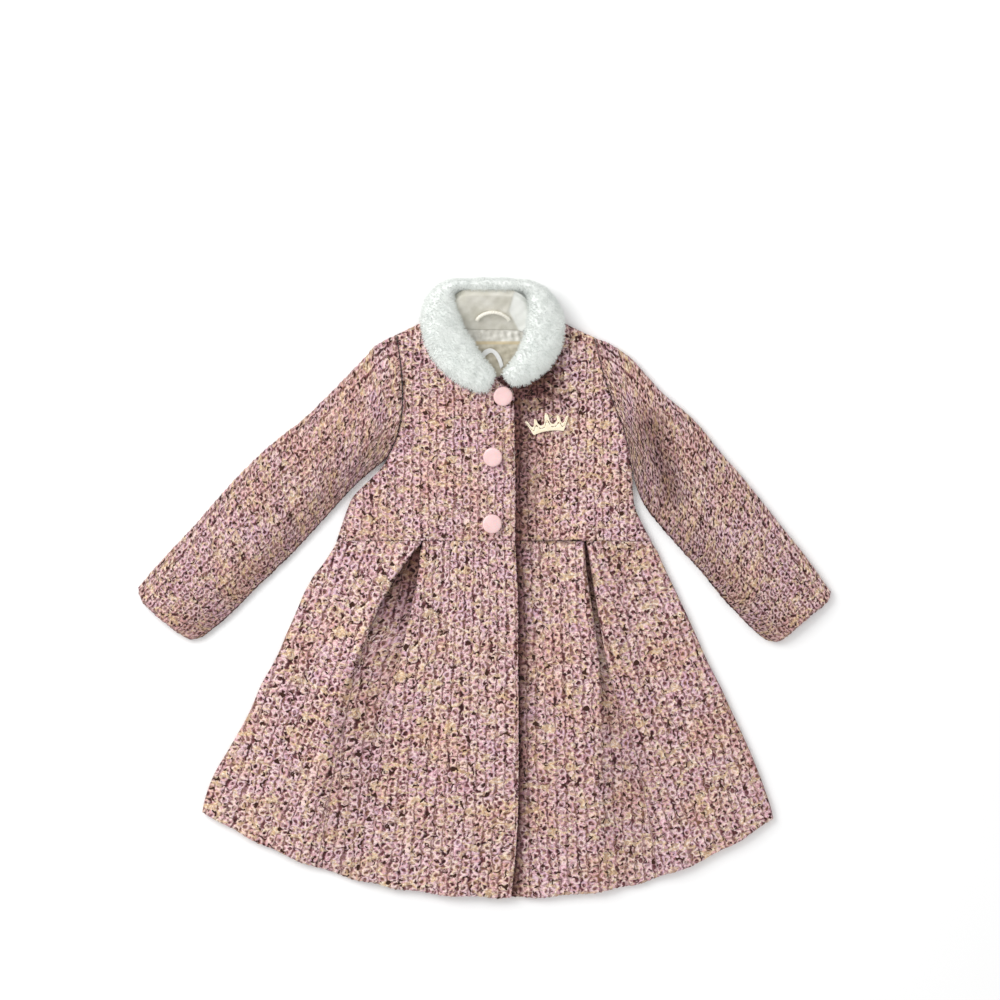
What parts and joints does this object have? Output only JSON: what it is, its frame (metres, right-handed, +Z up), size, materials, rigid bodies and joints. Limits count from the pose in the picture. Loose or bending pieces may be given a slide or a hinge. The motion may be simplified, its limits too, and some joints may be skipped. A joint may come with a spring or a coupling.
{
  "type": "coat",
  "caption": "Child's flared tweed coat laid flat, front up, with a plush round collar, set-in sleeves, a waist seam and inverted front pleats.",
  "frame": {"origin": "on the surface the coat lies on, under the middle of its outline", "axes": "+Z up from the surface towards the coat's front, +Y towards the collar, +X across the coat towards the wearer's left sleeve"},
  "size_m": [0.7609, 0.6797, 0.034],
  "materials": {
    "tweed_bodice": "looped pink tweed, matte",
    "tweed_skirt": "looped pink tweed, matte",
    "tweed_sleeve": "looped pink tweed, matte",
    "plush": "short white plush pile",
    "cream_cloth": "plain cream facing cloth",
    "lining": "beige lining, soft sheen",
    "ribbon": "ivory satin cord",
    "label": "bare white woven label",
    "button": "pale pink, satin polish",
    "pale_gold": "pale gold plating"
  },
  "bodies": {
    "root": {"back_bodice": "tweed_bodice", "front_bodice_right": "tweed_bodice", "front_bodice_left": "tweed_bodice", "back_skirt": "tweed_skirt", "front_skirt_right": "tweed_skirt", "front_skirt_left": "tweed_skirt", "sleeve_top_right": "tweed_sleeve", "sleeve_under_right": "tweed_sleeve", "sleeve_top_left": "tweed_sleeve", "sleeve_under_left": "tweed_sleeve", "collar": "plush", "collar_stand": "cream_cloth", "neck_lining": "lining", "hanger_loop": "ribbon", "label": "label", "button_1": "button", "button_2": "button", "button_3": "button", "tiara_pin": "pale_gold"}
  },
  "joints": []
}
